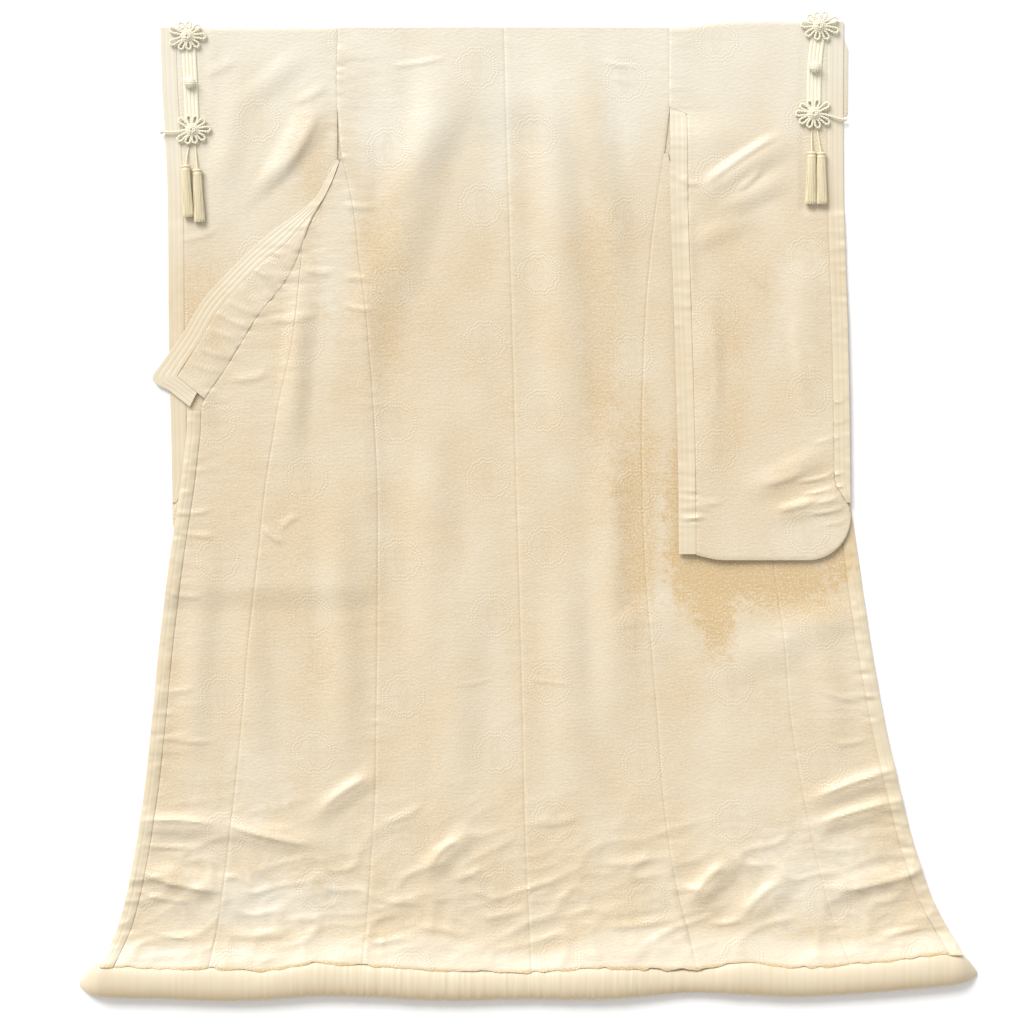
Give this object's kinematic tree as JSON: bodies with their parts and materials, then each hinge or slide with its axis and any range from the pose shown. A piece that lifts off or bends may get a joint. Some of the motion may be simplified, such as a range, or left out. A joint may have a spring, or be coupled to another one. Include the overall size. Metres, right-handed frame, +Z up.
{
  "type": "wedding kimono",
  "caption": "Bridal over-kimono (uchikake) of ivory figured silk laid flat, back uppermost, with long sleeves, a padded hem roll and braided cord trims on the cuffs",
  "frame": {"origin": "centre of the garment's outline box, on the surface that it lies on", "axes": "+X across the back to the right as seen from above, +Y from the hem to the shoulders, +Z up, out of the back"},
  "size_m": [1.758, 1.936, 0.0316],
  "materials": {
    "figured_silk": "satin",
    "padded_edge_silk": "satin",
    "braided_cord": "satin"
  },
  "bodies": {
    "root": {"back_left": "figured_silk", "back_right": "figured_silk", "collar_left": "figured_silk", "collar_right": "figured_silk", "front_left": "figured_silk", "front_left_upper": "figured_silk", "front_right": "figured_silk", "front_right_upper": "figured_silk", "overlap_left": "figured_silk", "overlap_right": "figured_silk", "sleeve_left_back": "figured_silk", "sleeve_left_front": "figured_silk", "sleeve_right_back": "figured_silk", "sleeve_right_front": "figured_silk", "collar_left_edging": "padded_edge_silk", "collar_neck": "padded_edge_silk", "cuff_edging_left": "padded_edge_silk", "cuff_edging_right": "padded_edge_silk", "front_edging_left": "padded_edge_silk", "front_edging_right": "padded_edge_silk", "hem_roll": "padded_edge_silk", "sleeve_edging_right": "padded_edge_silk", "ball_knot_left": "braided_cord", "ball_knot_right": "braided_cord", "cord_band_left": "braided_cord", "cord_band_right": "braided_cord", "flower_left_low": "braided_cord", "flower_left_top": "braided_cord", "flower_right_low": "braided_cord", "flower_right_top": "braided_cord", "tassel_left_1": "braided_cord", "tassel_left_2": "braided_cord", "tassel_right_1": "braided_cord", "tassel_right_2": "braided_cord"}
  },
  "joints": []
}
